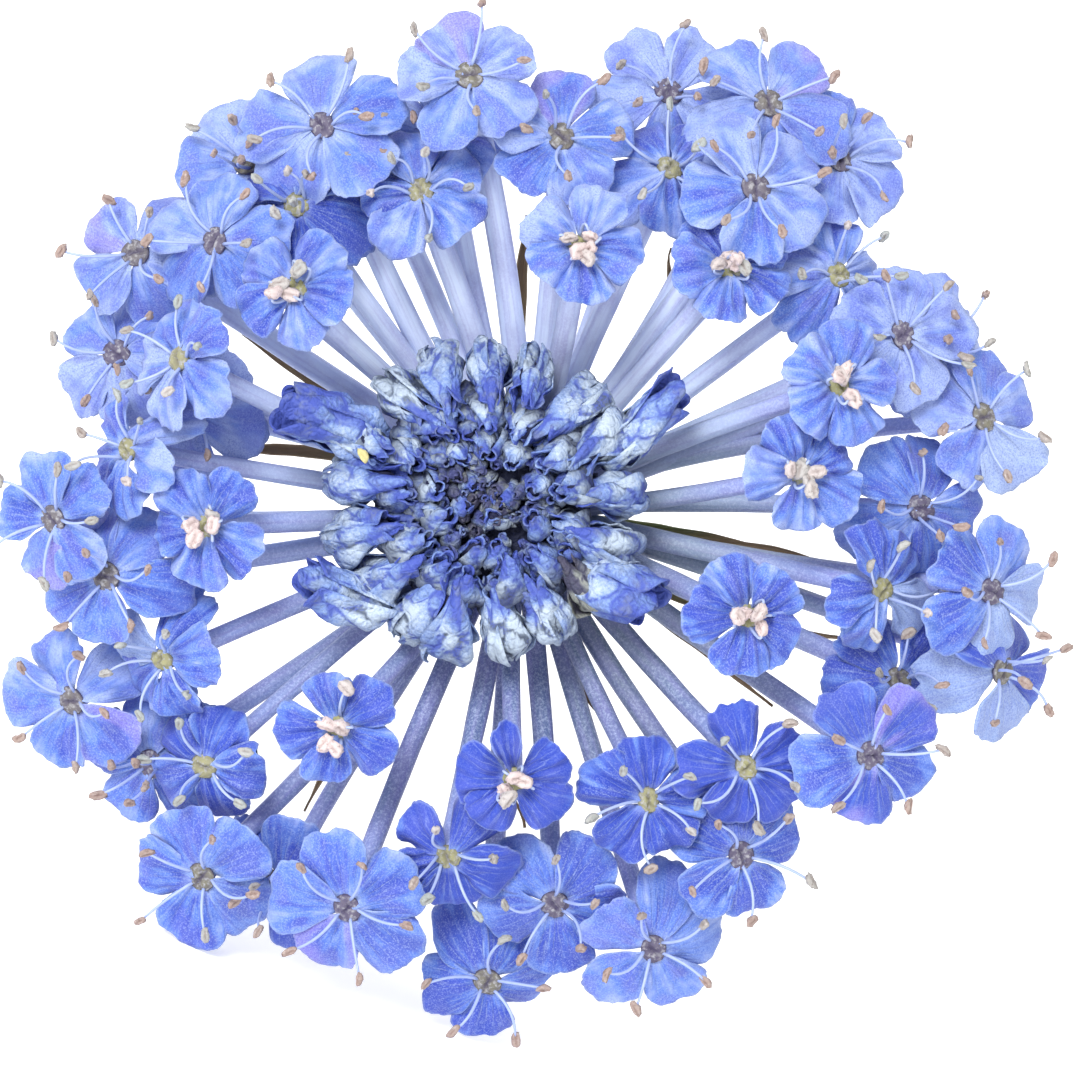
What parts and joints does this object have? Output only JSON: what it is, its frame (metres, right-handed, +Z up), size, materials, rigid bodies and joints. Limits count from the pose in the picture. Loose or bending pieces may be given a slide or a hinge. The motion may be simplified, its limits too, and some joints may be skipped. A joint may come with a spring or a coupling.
{
  "type": "blue lace flower stem",
  "caption": "Cut blue lace flower: a flat umbel of small blue five-petalled florets on radiating stalks round a tight head of buds, on a slim bare stem lying on its side.",
  "frame": {"origin": "on the surface the flower lies on, below the middle of its length and width", "axes": "+Z up; +Y along the stem towards its cut end, so the umbel's face looks towards -Y and slightly up"},
  "size_m": [0.0568, 0.113, 0.0544],
  "materials": {
    "stalk": "satin",
    "bract": "satin",
    "bud": "matte",
    "petal": "matte"
  },
  "bodies": {
    "root": {"stem": "stalk", "bracts": "bract", "bud_head": "bud", "floret_01": "petal", "floret_02": "petal", "floret_03": "petal", "floret_04": "petal", "floret_05": "petal", "floret_06": "petal", "floret_07": "petal", "floret_08": "petal", "floret_09": "petal", "floret_10": "petal", "floret_11": "petal", "floret_12": "petal", "floret_13": "petal", "floret_14": "petal", "floret_15": "petal", "floret_16": "petal", "floret_17": "petal", "floret_18": "petal", "floret_19": "petal", "floret_20": "petal", "floret_21": "petal", "floret_22": "petal", "floret_23": "petal", "floret_24": "petal", "floret_25": "petal", "floret_26": "petal", "floret_27": "petal", "floret_28": "petal", "floret_29": "petal", "floret_30": "petal", "floret_31": "petal", "floret_32": "petal", "floret_33": "petal", "floret_34": "petal", "floret_35": "petal", "floret_36": "petal", "floret_37": "petal", "floret_38": "petal", "floret_39": "petal", "floret_40": "petal", "floret_41": "petal", "floret_42": "petal", "floret_43": "petal", "floret_44": "petal", "floret_45": "petal", "floret_46": "petal", "floret_47": "petal", "floret_48": "petal", "floret_49": "petal", "floret_50": "petal", "floret_51": "petal", "floret_52": "petal", "floret_53": "petal", "floret_54": "petal"}
  },
  "joints": []
}
